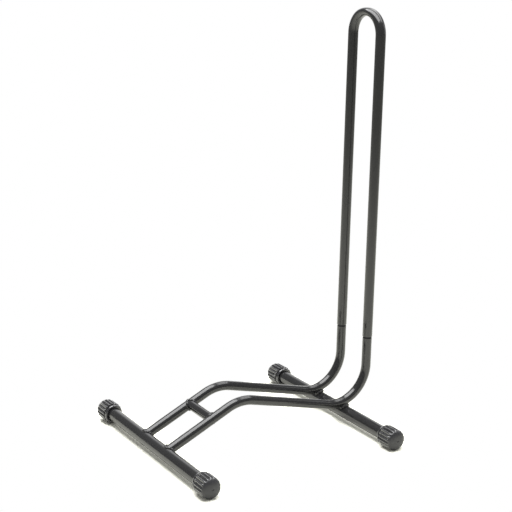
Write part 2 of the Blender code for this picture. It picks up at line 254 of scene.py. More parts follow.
# Side view of the rails: y from the front bar's axis, z from the floor
fall = side_direction(-RAIL_SLOPE)
rise_up = side_direction(math.pi / 2 - UPRIGHT_LEAN)
rear_bar_axis = Vector((BAR_SPACING, bar_z))
seat_normal = side_direction(math.pi / 2 + REAR_SEAT_ANGLE)
seat_along = side_direction(REAR_SEAT_ANGLE)
seat_point = rear_bar_axis + seat_normal * (bar_radius + RAIL_SEAT_GAP / 2)
seat_lift = bar_radius + RAIL_SEAT_GAP + rail_radius + LOW_BEND_RADIUS
low_bend_centre = rear_bar_axis + seat_normal * seat_lift
low_turn = math.pi / 2 - UPRIGHT_LEAN + RAIL_SLOPE
low_tangent = LOW_BEND_RADIUS * math.tan(low_turn / 2)
low_bend_start = low_bend_centre - quarter_left(fall) * LOW_BEND_RADIUS
low_corner = low_bend_start + fall * low_tangent
high_corner = low_corner - fall * ((low_corner.x - HIGH_CORNER_Y) / fall.x)
front_start = Vector((0.0, bar_z + RAIL_FRONT_RISE))
climb = (high_corner - front_start).normalized()
climb_normal = quarter_left(climb)
high_turn = math.atan2(climb.y, climb.x) + RAIL_SLOPE
high_tangent = HIGH_BEND_RADIUS * math.tan(high_turn / 2)
high_bend_start = high_corner - climb * high_tangent
high_bend_centre = high_bend_start - climb_normal * HIGH_BEND_RADIUS
brace_centre = front_start + climb * (BRACE_Y / climb.x)
shoulder_at = (SHOULDER_HEIGHT - low_corner.y) / math.cos(UPRIGHT_LEAN)
seat_share = (rail_radius - hoop_bore_radius + RAIL_SEAT_GAP) / (rail_radius - spigot_radius)
hoop_end_at = shoulder_at + SHOULDER_LENGTH * seat_share
spigot_end_at = hoop_end_at + SPIGOT_ENGAGEMENT
arch_centre_at = (HOOP_TOP - low_corner.y) / math.cos(UPRIGHT_LEAN) - rail_x


def place(x, side_point):
    """A side view point, at x across the stand, as a place in the stand's frame."""
    return Vector((x, front_bar_y + side_point.x, side_point.y))


def run(side_vector):
    """A side view direction as a direction in the stand's frame."""
    return Vector((0.0, side_vector.x, side_vector.y))


def deselect_all():
    if bpy.context.mode != "OBJECT":
        bpy.ops.object.mode_set(mode="OBJECT")
    bpy.ops.object.select_all(action="DESELECT")


def take_name(name):
    """Names the active piece and its mesh."""
    piece = bpy.context.active_object
    piece.name = name
    piece.data.name = name
    return piece


def settle(piece):
    """Puts a piece's place into its mesh."""
    deselect_all()
    piece.select_set(True)
    bpy.context.view_layer.objects.active = piece
    bpy.ops.object.transform_apply(location=True, rotation=True, scale=True)


def apply_modifier(piece, modifier):
    deselect_all()
    piece.select_set(True)
    bpy.context.view_layer.objects.active = piece
    bpy.ops.object.modifier_apply(modifier=modifier.name)


def point_out(piece):
    """Merges doubles and turns all faces outwards."""
    deselect_all()
    piece.select_set(True)
    bpy.context.view_layer.objects.active = piece
    bpy.ops.object.mode_set(mode="EDIT")
    bpy.ops.mesh.select_all(action="SELECT")
    bpy.ops.mesh.remove_doubles(threshold=MERGE_DISTANCE)
    bpy.ops.mesh.normals_make_consistent(inside=False)
    bpy.ops.object.mode_set(mode="OBJECT")


def start_tube(name, start, direction, radius, sides):
    """A ring across a direction, left selected in edit mode for drawing out a tube."""
    deselect_all()
    turn = direction.to_track_quat("Z", "X").to_euler()
    bpy.ops.mesh.primitive_circle_add(vertices=sides, radius=radius, location=start, rotation=turn)
    tube = take_name(name)
    settle(tube)
    bpy.ops.object.mode_set(mode="EDIT")
    bpy.ops.mesh.select_all(action="SELECT")
    return tube


def draw_straight(travel, rows=1):
    """Draws the selected ring out along a straight run."""
    for _ in range(rows):
        bpy.ops.mesh.extrude_region_move(TRANSFORM_OT_translate={"value": travel / rows})


def draw_bend(centre, axis, turn):
    """Draws the selected ring round a bend. The spin operator counts its angle clockwise."""
    steps = max(2, round(abs(turn) / BEND_STEP))
    bpy.ops.mesh.spin(steps=steps, angle=-turn, center=centre, axis=axis)


def draw_scaled(travel, ring_centre, factor):
    """Draws the selected ring out and changes its size about its new centre."""
    bpy.ops.mesh.extrude_region_move(TRANSFORM_OT_translate={"value": travel})
    bpy.ops.transform.resize(value=(factor, factor, factor), center_override=ring_centre)


def close_tube(tube, wall, rim_round=0.0):
    """Gives a drawn tube its wall, and rounds the rims of its open ends."""
    bpy.ops.object.mode_set(mode="OBJECT")
    point_out(tube)
    solid = tube.modifiers.new("wall", "SOLIDIFY")
    solid.thickness = wall
    solid.offset = -1.0
    solid.use_even_offset = True
    apply_modifier(tube, solid)
    if rim_round > 0.0:
        soften = tube.modifiers.new("rim", "BEVEL")
        soften.width = rim_round
        soften.segments = RIM_ROWS
        soften.limit_method = "ANGLE"
        soften.angle_limit = RIM_ANGLE
        apply_modifier(tube, soften)
    smooth(tube)


def smooth(piece, angle=ROUND_OVER):
    """Shades over all edges that turn by less than an angle."""
    deselect_all()
    piece.select_set(True)
    bpy.context.view_layer.objects.active = piece
    bpy.ops.object.shade_smooth_by_angle(angle=angle)


def cut_with(piece, cutter):
    """Cuts a cutter's shape from a piece."""
    step = piece.modifiers.new("cut", "BOOLEAN")
    step.operation = "DIFFERENCE"
    step.solver = "EXACT"
    step.object = cutter
    apply_modifier(piece, step)


def build_rail(name, x, bar_cutter):
    """Drawn tube: up from the front bar, over the high bend, down to the rear bar's bend,
    up the short upright, in at the shoulder and out along the spigot."""
    start = place(x, front_start)
    rail = start_tube(name, start, run(climb), rail_radius, TUBE_SIDES)
    climb_length = (high_bend_start - front_start).length
    draw_straight(run(climb) * climb_length, CLIMB_ROWS)
    draw_bend(place(x, high_bend_centre), (1, 0, 0), -high_turn)
    high_bend_end = high_corner + fall * high_tangent
    draw_straight(run(fall) * (low_bend_start - high_bend_end).length, RUN_ROWS)
    draw_bend(place(x, low_bend_centre), (1, 0, 0), low_turn)
    draw_straight(run(rise_up) * (shoulder_at - low_tangent), UPRIGHT_ROWS)
    radius = rail_radius
    for row in range(1, SHOULDER_ROWS + 1):
        share = row / SHOULDER_ROWS
        eased = share * share * (3 - 2 * share)
        next_radius = rail_radius + (spigot_radius - rail_radius) * eased
        centre = place(x, low_corner + rise_up * (shoulder_at + SHOULDER_LENGTH * share))
        draw_scaled(run(rise_up) * (SHOULDER_LENGTH / SHOULDER_ROWS), centre, next_radius / radius)
        radius = next_radius
    draw_straight(run(rise_up) * (spigot_end_at - shoulder_at - SHOULDER_LENGTH), SPIGOT_ROWS)
    close_tube(rail, RAIL_WALL, RIM_ROUND)
    cut_with(rail, bar_cutter)
    smooth(rail)
    return rail


def flatten_arch(hoop):
    """The tight bend leaves the tube flat on its outer side and a little wider through."""
    centre = place(0.0, low_corner + rise_up * arch_centre_at)
    up = run(rise_up)
    across = Vector((1.0, 0.0, 0.0))
    through = across.cross(up)
    for vertex in hoop.data.vertices:
        offset = vertex.co - centre
        side, height, depth = offset.dot(across), offset.dot(up), offset.dot(through)
        if height <= 0.0:
            continue
        reach = math.hypot(side, height)
        crown = (height / reach) ** ARCH_CROWN_POWER
        bulge = reach - rail_x
        if bulge > 0.0:
            bulge *= 1.0 - ARCH_FLATTENING * crown
        scale = (rail_x + bulge) / reach
        widened = depth * (1.0 + ARCH_WIDENING * crown)
        vertex.co = centre + across * side * scale + up * height * scale + through * widened


def build_hoop(name):
    """Drawn tube: up one leg, round the arch and down the other leg."""
    start = place(-rail_x, low_corner + rise_up * hoop_end_at)
    hoop = start_tube(name, start, run(rise_up), hoop_radius, TUBE_SIDES)
    leg = run(rise_up) * (arch_centre_at - hoop_end_at)
    draw_straight(leg, LEG_ROWS)
    across = Vector((1.0, 0.0, 0.0))
    arch_centre = place(0.0, low_corner + rise_up * arch_centre_at)
    draw_bend(arch_centre, across.cross(run(rise_up)), -math.pi)
    draw_straight(-leg, LEG_ROWS)
    bpy.ops.object.mode_set(mode="OBJECT")
    point_out(hoop)
    flatten_arch(hoop)
    close_tube(hoop, HOOP_WALL, RIM_ROUND)
    return hoop


def build_bar(name, side_y):
    """Floor bar, a straight tube that ends inside its caps."""
    reach = STAND_WIDTH / 2 - CAP_END_WALL - CAP_FIT
    start = place(-reach, Vector((side_y, bar_z)))
    bar = start_tube(name, start, Vector((1.0, 0.0, 0.0)), bar_radius, BAR_SIDES)
    draw_straight(Vector((2 * reach, 0.0, 0.0)), BAR_ROWS)
    close_tube(bar, BAR_WALL, RIM_ROUND)
    return bar


def build_brace(name, rail_cutters):
    """Short tube between the rails, saddled to both."""
    start = place(-rail_x, brace_centre)
    brace = start_tube(name, start, Vector((1.0, 0.0, 0.0)), brace_radius, TUBE_SIDES)
    draw_straight(Vector((RAIL_CENTRES, 0.0, 0.0)), BRACE_ROWS)
    close_tube(brace, BRACE_WALL)
    for cutter in rail_cutters:
        cut_with(brace, cutter)
    smooth(brace)
    return brace


def build_bar_cutter(side_y):
    """Solid round bar that saddles what is welded to a floor bar."""
    deselect_all()
    bpy.ops.mesh.primitive_cylinder_add(
        vertices=BAR_SIDES,
        radius=bar_radius + SADDLE_GAP,
        depth=STAND_WIDTH,
        location=place(0.0, Vector((side_y, bar_z))),
        rotation=(0.0, math.pi / 2, 0.0),
    )
    cutter = take_name("bar_cutter")
    settle(cutter)
    return cutter


def build_rail_cutter(x):
    """Solid round stretch of a rail's climb that saddles the brace."""
    deselect_all()
    bpy.ops.mesh.primitive_cylinder_add(
        vertices=TUBE_SIDES,
        radius=rail_radius + SADDLE_GAP,
        depth=BRACE_Y,
        location=place(x, brace_centre),
        rotation=run(climb).to_track_quat("Z", "X").to_euler(),
    )
    cutter = take_name("rail_cutter")
    settle(cutter)
    return cutter


def cap_rows():
    """Outline of a cap as (distance from the mouth, radius, ribbed), up its outside."""
    ring = CAP_RING_OD / 2
    neck = ring - CAP_NECK_DEPTH
    recess = ring - CAP_RING_WALL
    bore = bar_radius + CAP_FIT
    lip_run = (CAP_RING_LENGTH - CAP_EDGE_RUN) * CAP_LIP_SHARE
    shoulder = CAP_LENGTH - CAP_DOME_DEPTH
    rib_foot = CAP_RING_LENGTH + CAP_NECK_LENGTH
    rows = [
        (CAP_LENGTH - CAP_END_WALL, bore, False),
        (CAP_RECESS_DEPTH, bore, False),
        (CAP_RECESS_DEPTH, recess, False),
        (CAP_LIP_EDGE, recess, False),
        (CAP_LIP_EDGE * EDGE_MIDDLE_DROP, recess + CAP_LIP_EDGE * EDGE_MIDDLE_DROP, False),
        (0.0, recess + CAP_LIP_EDGE, False),
    ]
    for step in range(LIP_ROWS + 1):
        angle = math.pi / 2 * step / LIP_ROWS
        radius = ring - CAP_LIP_DROP * (1 - math.sin(angle))
        rows.append((lip_run * (1 - math.cos(angle)), radius, False))
    edge_middle = CAP_EDGE_RUN * EDGE_MIDDLE_RUN
    rows += [
        (CAP_RING_LENGTH - CAP_EDGE_RUN, ring, False),
        (CAP_RING_LENGTH - edge_middle, ring - (ring - neck) * EDGE_MIDDLE_DROP, False),
        (CAP_RING_LENGTH, neck, False),
        (rib_foot, neck, False),
        (rib_foot + edge_middle, cap_radius - (cap_radius - neck) * EDGE_MIDDLE_DROP, True),
        (rib_foot + CAP_EDGE_RUN, cap_radius, True),
    ]
    ribbed_run = shoulder - rib_foot - CAP_EDGE_RUN
    for step in range(1, RIBBED_ROWS):
        travel = rib_foot + CAP_EDGE_RUN + ribbed_run * step / RIBBED_ROWS
        rows.append((travel, cap_radius, True))
    for step in range(DOME_ROWS):
        angle = math.pi / 2 * (1 - step / DOME_ROWS)
        radius = cap_radius * math.sin(angle) ** (2 / CAP_DOME_SQUARENESS)
        travel = CAP_DOME_DEPTH * max(0.0, math.cos(angle)) ** (2 / CAP_DOME_SQUARENESS)
        rows.append((shoulder + travel, radius, True))
    rows.append((CAP_LENGTH, GATE_RADIUS * GATE_MOUTH_SHARE, False))
    rows.append((CAP_LENGTH - GATE_DEPTH, GATE_RADIUS, False))
    return rows


def press_grooves(cap, rows, mouth, axis_point):
    """Presses rounded grooves between the ribs. They run out where the dome falls below them."""
    groove_radius = cap_radius - RIB_DEPTH
    for vertex in cap.data.vertices:
        along = vertex.co.x - mouth
        arm = Vector((vertex.co.y - axis_point.y, vertex.co.z - axis_point.z))
        radius = arm.length
        ribbed = any(
            flag and abs(along - travel) < ROW_MATCH and abs(radius - row_radius) < ROW_MATCH
            for travel, row_radius, flag in rows
        )
        if not ribbed:
            continue
        turn = math.atan2(-arm.y, arm.x) + math.pi / 2
        hollow = 0.5 - 0.5 * math.cos(turn * RIB_COUNT)
        floor = min(radius, groove_radius)
        pressed = radius + (floor - radius) * hollow
        vertex.co.y = axis_point.y + arm.x * pressed / radius
        vertex.co.z = axis_point.z + arm.y * pressed / radius


def build_cap(name):
    """Front right cap, drawn out ring by ring from its socket's floor to its closed end."""
    mouth = STAND_WIDTH / 2 - CAP_LENGTH
    axis_point = place(0.0, Vector((0.0, bar_z)))
    rows = cap_rows()
    sides = RIB_COUNT * RIB_STEPS
    outward = Vector((1.0, 0.0, 0.0))
    start = axis_point + outward * (mouth + rows[0][0])
    cap = start_tube(name, start, outward, rows[0][1], sides)
    for (travel, radius, _), (next_travel, next_radius, _) in zip(rows, rows[1:]):
        centre = axis_point + outward * (mouth + next_travel)
        draw_scaled(outward * (next_travel - travel), centre, next_radius / radius)
    bpy.ops.mesh.edge_face_add()
    close_socket_floor(cap, mouth + rows[0][0])
    press_grooves(cap, rows, mouth, axis_point)
    point_out(cap)
    smooth(cap, CAP_ROUND_OVER)
    return cap


def close_socket_floor(cap, floor_x):
    """Closes the ring of vertices at the bottom of the cap's socket."""
    bpy.ops.mesh.select_all(action="DESELECT")
    shape = bmesh.from_edit_mesh(cap.data)
    for edge in shape.edges:
        at_floor = all(abs(vertex.co.x - floor_x) < SOCKET_MATCH for vertex in edge.verts)
        edge.select = edge.is_boundary and at_floor
    bmesh.update_edit_mesh(cap.data)
    bpy.ops.mesh.edge_face_add()
    bpy.ops.object.mode_set(mode="OBJECT")


def copy_cap(cap, name, mirrored, side_y):
    """A copy with its own mesh, mirrored to the left or moved to the rear bar."""
    deselect_all()
    cap.select_set(True)
    bpy.context.view_layer.objects.active = cap
    bpy.ops.object.duplicate()
    copy = take_name(name)
    bpy.ops.object.mode_set(mode="EDIT")
    bpy.ops.mesh.select_all(action="SELECT")
    if mirrored:
        bpy.ops.transform.resize(value=(-1.0, 1.0, 1.0), center_override=(0.0, 0.0, 0.0))
    bpy.ops.transform.translate(value=(0.0, side_y, 0.0))
    bpy.ops.object.mode_set(mode="OBJECT")
    point_out(copy)
    smooth(copy, CAP_ROUND_OVER)
    return copy


def bead_from_path(name, points, radius, shares, lump_height, closed=True):
    """Weld bead drawn along points as a round section with its own share of the radius,
    with spatter and lumps left by the torch."""
    deselect_all()
    line = bpy.data.curves.new(name, "CURVE")
    line.dimensions = "3D"
    line.bevel_depth = radius
    line.bevel_resolution = BEAD_SIDES // 2 - 2
    line.use_fill_caps = not closed
    spline = line.splines.new("POLY")
    spline.points.add(len(points) - 1)
    for point, spot, share in zip(spline.points, points, shares):
        point.co = (*spot, 1.0)
        point.radius = share
    spline.use_cyclic_u = closed
    bead = bpy.data.objects.new(name, line)
    bpy.context.scene.collection.objects.link(bead)
    bead.select_set(True)
    bpy.context.view_layer.objects.active = bead
    bpy.ops.object.convert(target="MESH")
    bead = take_name(name)
    point_out(bead)
    spatter = bpy.data.textures.new(name + "_lumps", "CLOUDS")
    spatter.noise_scale = BEAD_LUMP_SIZE
    spatter.noise_depth = BEAD_LUMP_DETAIL
    lumps = bead.modifiers.new("lumps", "DISPLACE")
    lumps.texture = spatter
    lumps.texture_coords = "GLOBAL"
    lumps.strength = lump_height
    lumps.mid_level = 0.5
    apply_modifier(bead, lumps)
    smooth(bead, BEAD_ROUND_OVER)
    return bead


def puddle(count, steps, start_turn, closed):
    """Shares of a bead's radius: a scalloped puddle for each step of the torch."""
    shares = []
    for index in range(count):
        share = index / count if closed else index / (count - 1)
        drift = STEP_DRIFT * math.sin(STEP_DRIFT_TURN * share + start_turn)
        phase = (share * steps + drift) % 1.0
        scallop = 1.0 - BEAD_RIPPLE * (2 * phase - 1) ** 2
        wander_turn = 2 * math.pi * BEAD_WANDER_TURNS * share + start_turn
        wander = 1.0 + BEAD_WANDER * math.sin(wander_turn)
        taper = 1.0
        if not closed:
            taper = min(1.0, BEAD_END_SHARE + BEAD_END_RISE * min(share, 1 - share))
        shares.append(scallop * wander * taper)
    return shares


def front_bead_points(x):
    """Closed line where the rail's skin meets the front bar's skin."""
    axis = Vector((0.0, bar_z))
    points = []
    for index in range(BEAD_POINTS):
        angle = 2 * math.pi * index / BEAD_POINTS
        start = front_start - axis + climb_normal * rail_radius * math.sin(angle)
        ahead = start.dot(climb)
        travel = -ahead + math.sqrt(ahead**2 - start.dot(start) + bar_radius**2)
        points.append(place(x + rail_radius * math.cos(angle), axis + start + climb * travel))
    return points


def brace_bead_points(side):
    """Closed line where the brace's skin meets one rail's skin."""
    points = []
    for index in range(BEAD_POINTS):
        angle = 2 * math.pi * index / BEAD_POINTS
        lift = brace_radius * math.sin(angle)
        inset = math.sqrt(max(0.0, rail_radius**2 - lift**2))
        offset = climb * brace_radius * math.cos(angle) + climb_normal * lift
        points.append(place(side * (rail_x - inset), brace_centre + offset))
    return points


def seat_bead_points(rail_side, bead_side):
    """Line in the valley between a rail and the rear bar, on one side of the rail.
    Its ends curl in under the rail."""
    bend_skin = LOW_BEND_RADIUS + rail_radius
    points = []
    for index in range(SEAT_BEAD_POINTS):
        share = 2 * index / (SEAT_BEAD_POINTS - 1) - 1
        travel = SEAT_BEAD_HALF_LENGTH * share
        reach = SEAT_BEAD_REACH * math.cos(SEAT_BEAD_CURL * share)
        rail_lift = rail_radius - math.sqrt(rail_radius**2 - reach**2)
        rail_lift += bend_skin - math.sqrt(bend_skin**2 - travel**2)
        bar_drop = bar_radius - math.sqrt(bar_radius**2 - travel**2)
        middle = (rail_lift - bar_drop) / 2
        side_point = seat_point + seat_along * travel + seat_normal * middle
        points.append(place(rail_side * rail_x + bead_side * reach, side_point))
    return points


def build_beads():
    """All the weld beads, by the name of the solid that each stands for."""
    beads = {}
    for word, side in (("left", -1), ("right", 1)):
        name = f"front_weld_{word}"
        points = front_bead_points(side * rail_x)
        shares = puddle(BEAD_POINTS, FRONT_BEAD_STEPS, side * FRONT_BEAD_TURN, True)
        beads[name] = bead_from_path(name + "_bead", points, BEAD_RADIUS, shares, FRONT_BEAD_LUMPS)
        name = f"brace_weld_{word}"
        points = brace_bead_points(side)
        shares = puddle(BEAD_POINTS, BRACE_BEAD_STEPS, side * BRACE_BEAD_TURN, True)
        beads[name] = bead_from_path(
            name + "_bead", points, BRACE_BEAD_RADIUS, shares, BRACE_BEAD_LUMPS
        )
        for bead_word, bead_side in (("inner", -side), ("outer", side)):
            name = f"rear_weld_{word}_{bead_word}"
            points = seat_bead_points(side, bead_side)
            start_turn = side + bead_side * SEAT_BEAD_TURN
            shares = puddle(SEAT_BEAD_POINTS, SEAT_BEAD_STEPS, start_turn, False)
            beads[name] = bead_from_path(
                name + "_bead", points, SEAT_BEAD_RADIUS, shares, SEAT_BEAD_LUMPS, closed=False
            )
    return beads


def new_group(name, inputs, outputs):
    """Empty shader node group with named sockets."""
    group = bpy.data.node_groups.new(name, "ShaderNodeTree")
    for socket, value in inputs:
        made = group.interface.new_socket(
            name=socket, in_out="INPUT", socket_type="NodeSocketFloat"
        )
        made.default_value = value
    for socket in outputs:
        group.interface.new_socket(name=socket, in_out="OUTPUT", socket_type="NodeSocketFloat")
    start = group.nodes.new("NodeGroupInput")
    end = group.nodes.new("NodeGroupOutput")
    return group, start, end


def object_place(group):
    return group.nodes.new("ShaderNodeTexCoord").outputs["Object"]


def add_noise(group, place_socket, scale, detail, roughness):
    noise = group.nodes.new("ShaderNodeTexNoise")
    noise.inputs["Scale"].default_value = scale
    noise.inputs["Detail"].default_value = detail
    noise.inputs["Roughness"].default_value = roughness
    group.links.new(place_socket, noise.inputs["Vector"])
    return noise


def add_math(group, operation, first, second, clamp=False):
    step = group.nodes.new("ShaderNodeMath")
    step.operation = operation
    step.use_clamp = clamp
    for socket, value in zip(step.inputs, (first, second)):
        if isinstance(value, (int, float)):
            socket.default_value = value
        else:
            group.links.new(value, socket)
    return step.outputs["Value"]


def make_grain_group():
    """Fine moulded or sprayed grain: a height from two sizes of noise."""
    group, start, end = new_group("surface_grain", [("Coarse", 0.6), ("Fine", 0.4)], ["Height"])
    spot = object_place(group)
    coarse = add_noise(group, spot, GRAIN_SCALES[0], GRAIN_DETAIL[0], COARSE_NOISE_ROUGHNESS)
    fine = add_noise(group, spot, GRAIN_SCALES[1], GRAIN_DETAIL[1], FINE_NOISE_ROUGHNESS)
    coarse_part = add_math(group, "MULTIPLY", coarse.outputs["Fac"], start.outputs["Coarse"])
    fine_part = add_math(group, "MULTIPLY", fine.outputs["Fac"], start.outputs["Fine"])
    height = add_math(group, "ADD", coarse_part, fine_part)
    group.links.new(height, end.inputs["Height"])
    return group


def make_drift_group():
    """Slow drift of tone and gloss over a piece."""
    group, start, end = new_group("tone_drift", [("Low", 0.3), ("High", 0.5)], ["Value", "Mask"])
    spot = object_place(group)
    broad = add_noise(group, spot, DRIFT_SCALES[0], DRIFT_DETAIL[0], COARSE_NOISE_ROUGHNESS)
    small = add_noise(group, spot, DRIFT_SCALES[1], DRIFT_DETAIL[1], FINE_NOISE_ROUGHNESS)
    broad_part = add_math(group, "MULTIPLY", broad.outputs["Fac"], DRIFT_SHARES[0])
    small_part = add_math(group, "MULTIPLY", small.outputs["Fac"], DRIFT_SHARES[1])
    mixed = add_math(group, "ADD", broad_part, small_part)
    spread = group.nodes.new("ShaderNodeMapRange")
    spread.inputs["From Min"].default_value = DRIFT_SPREAD[0]
    spread.inputs["From Max"].default_value = DRIFT_SPREAD[1]
    group.links.new(mixed, spread.inputs["Value"])
    group.links.new(start.outputs["Low"], spread.inputs["To Min"])
    group.links.new(start.outputs["High"], spread.inputs["To Max"])
    group.links.new(spread.outputs["Result"], end.inputs["Value"])
    group.links.new(add_math(group, "MULTIPLY", mixed, 1.0, clamp=True), end.inputs["Mask"])
    return group


grain_group = make_grain_group()
drift_group = make_drift_group()


def place_group(tree, group, **values):
    node = tree.nodes.new("ShaderNodeGroup")
    node.node_tree = group
    for name, value in values.items():
        node.inputs[name].default_value = value
    return node


def make_finish(name, tones, roughness, grain, grain_height):
    """Black finish with drifting tone and gloss, and a grain of coarse and fine shares."""
    material = bpy.data.materials.new(name)
    material.use_nodes = True
    tree = material.node_tree
    shader = tree.nodes["Principled BSDF"]
    shader.inputs["Specular IOR Level"].default_value = COAT_SPECULAR
    gloss = place_group(tree, drift_group, Low=roughness[0], High=roughness[1])
    tree.links.new(gloss.outputs["Value"], shader.inputs["Roughness"])
    tone = tree.nodes.new("ShaderNodeMix")
    tone.data_type = "RGBA"
    tone.inputs["A"].default_value = (*tones[0], 1.0)
    tone.inputs["B"].default_value = (*tones[1], 1.0)
    tree.links.new(gloss.outputs["Mask"], tone.inputs["Factor"])
    tree.links.new(tone.outputs["Result"], shader.inputs["Base Color"])
    texture = place_group(tree, grain_group, Coarse=grain[0], Fine=grain[1])
    relief = tree.nodes.new("ShaderNodeBump")
    relief.inputs["Strength"].default_value = 1.0
    relief.inputs["Distance"].default_value = grain_height
    tree.links.new(texture.outputs["Height"], relief.inputs["Height"])
    tree.links.new(relief.outputs["Normal"], shader.inputs["Normal"])
    return material


def make_cap_polish_and_painted_light_group():
    """A cap's polish, painted shade in its grooves and a painted highlight on its crest tops."""
    group, start, end = new_group("cap_polish_and_painted_light", [], ["Polish", "Painted_groove_shade", "Painted_crest_highlight"])
    spot = group.nodes.new("ShaderNodeSeparateXYZ")
    group.links.new(object_place(group), spot.inputs["Vector"])
    from_middle = add_math(group, "SUBTRACT", spot.outputs["Y"], front_bar_y + BAR_SPACING / 2)
    beside = add_math(group, "ABSOLUTE", from_middle, 0.0)
    beside = add_math(group, "SUBTRACT", beside, BAR_SPACING / 2)
    above = add_math(group, "SUBTRACT", spot.outputs["Z"], bar_z)
    beside_squared = add_math(group, "MULTIPLY", beside, beside)
    above_squared = add_math(group, "MULTIPLY", above, above)
    squares = add_math(group, "ADD", beside_squared, above_squared)
    radius = add_math(group, "SQRT", squares, 0.0)
    along = add_math(group, "ABSOLUTE", spot.outputs["X"], 0.0)
    mouth = STAND_WIDTH / 2 - CAP_LENGTH
    near_mouth = add_math(group, "LESS_THAN", along, mouth + CAP_RING_LENGTH)
    off_bar = add_math(group, "GREATER_THAN", radius, bar_radius + RING_POLISH_GAP)
    on_ring = add_math(group, "MULTIPLY", near_mouth, off_bar)
    flank = group.nodes.new("ShaderNodeMapRange")
    flank.interpolation_type = "SMOOTHSTEP"
    flank.inputs["From Min"].default_value = POLISH_FROM
    flank.inputs["From Max"].default_value = POLISH_AT
    group.links.new(radius, flank.inputs["Value"])
    polish = add_math(group, "MAXIMUM", flank.outputs["Result"], on_ring)
    group.links.new(polish, end.inputs["Polish"])
    # Painted shade: the unpolished groove floors, short of the dome's pole
    groove_end = STAND_WIDTH / 2 - CAP_DOME_DEPTH * GROOVE_END_SHARE
    on_side = add_math(group, "LESS_THAN", along, groove_end)
    groove = add_math(group, "MULTIPLY", on_side, add_math(group, "SUBTRACT", 1.0, polish))
    group.links.new(groove, end.inputs["Painted_groove_shade"])
    # Painted highlight: the crests' tops are marked for a paler colour
    crest = group.nodes.new("ShaderNodeMapRange")
    crest.interpolation_type = "SMOOTHSTEP"
    crest.inputs["From Min"].default_value = CREST_FROM
    crest.inputs["From Max"].default_value = CREST_AT
    group.links.new(radius, crest.inputs["Value"])
    group.links.new(crest.outputs["Result"], end.inputs["Painted_crest_highlight"])
    return group


def make_cap_plastic():
    """Moulded plastic: textured and matte on the dome and in the grooves, polished on the ribs."""
    material = make_finish(
        "moulded_black_plastic",
        tones=((0.020, 0.020, 0.024), (0.030, 0.030, 0.035)),
        roughness=(0.40, 0.50),
        grain=(0.3, 0.7),
        grain_height=0.000020,
    )
    tree = material.node_tree
    shader = tree.nodes["Principled BSDF"]
    polish_and_painted_light = place_group(tree, make_cap_polish_and_painted_light_group())
    rough = tree.nodes.new("ShaderNodeMix")
    rough.data_type = "FLOAT"
    tree.links.new(polish_and_painted_light.outputs["Polish"], rough.inputs["Factor"])
    tree.links.new(shader.inputs["Roughness"].links[0].from_socket, rough.inputs["A"])
    rough.inputs["B"].default_value = POLISHED_ROUGHNESS
    tree.links.new(rough.outputs["Result"], shader.inputs["Roughness"])
    # Painted shade: the grooves take a darker base colour
    shade = tree.nodes.new("ShaderNodeMix")
    shade.data_type = "RGBA"
    tree.links.new(polish_and_painted_light.outputs["Painted_groove_shade"], shade.inputs["Factor"])
    tree.links.new(shader.inputs["Base Color"].links[0].from_socket, shade.inputs["A"])
    shade.inputs["B"].default_value = GROOVE_SHADE_COLOUR
    # Painted highlight: the crests' tops take a paler base colour
    crest_highlight = tree.nodes.new("ShaderNodeMix")
    crest_highlight.data_type = "RGBA"
    tree.links.new(polish_and_painted_light.outputs["Painted_crest_highlight"], crest_highlight.inputs["Factor"])
    tree.links.new(shade.outputs["Result"], crest_highlight.inputs["A"])
    crest_highlight.inputs["B"].default_value = CREST_HIGHLIGHT_COLOUR
    tree.links.new(crest_highlight.outputs["Result"], shader.inputs["Base Color"])
    tree.links.new(polish_and_painted_light.outputs["Polish"], shader.inputs["Coat Weight"])
    shader.inputs["Coat Roughness"].default_value = POLISHED_COAT_ROUGHNESS
    relief = shader.inputs["Normal"].links[0].from_node
    grain = relief.inputs["Height"].links[0].from_socket
    kept = add_math(tree, "SUBTRACT", 1.0, polish_and_painted_light.outputs["Polish"])
    tree.links.new(add_math(tree, "MULTIPLY", grain, kept), relief.inputs["Height"])
    return material


powder_coat = make_finish(
    "satin_black_powder_coat",
    tones=((0.016, 0.016, 0.017), (0.024, 0.024, 0.025)),
    roughness=(0.13, 0.18),
    grain=(0.7, 0.3),
    grain_height=0.000008,
)
weld_coat = make_finish(
    "powder_coat_on_weld",
    tones=((0.014, 0.014, 0.015), (0.022, 0.022, 0.023)),
    roughness=(0.10, 0.18),
    grain=(0.9, 0.2),
    grain_height=0.00004,
)
cap_plastic = make_cap_plastic()


def dress(piece, material, body, slot, *nodes):
    """Gives a piece its finish, its body and the solids that it stands for."""
    piece.data.materials.clear()
    piece.data.materials.append(material)
    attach(piece, body)
    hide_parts(*nodes)


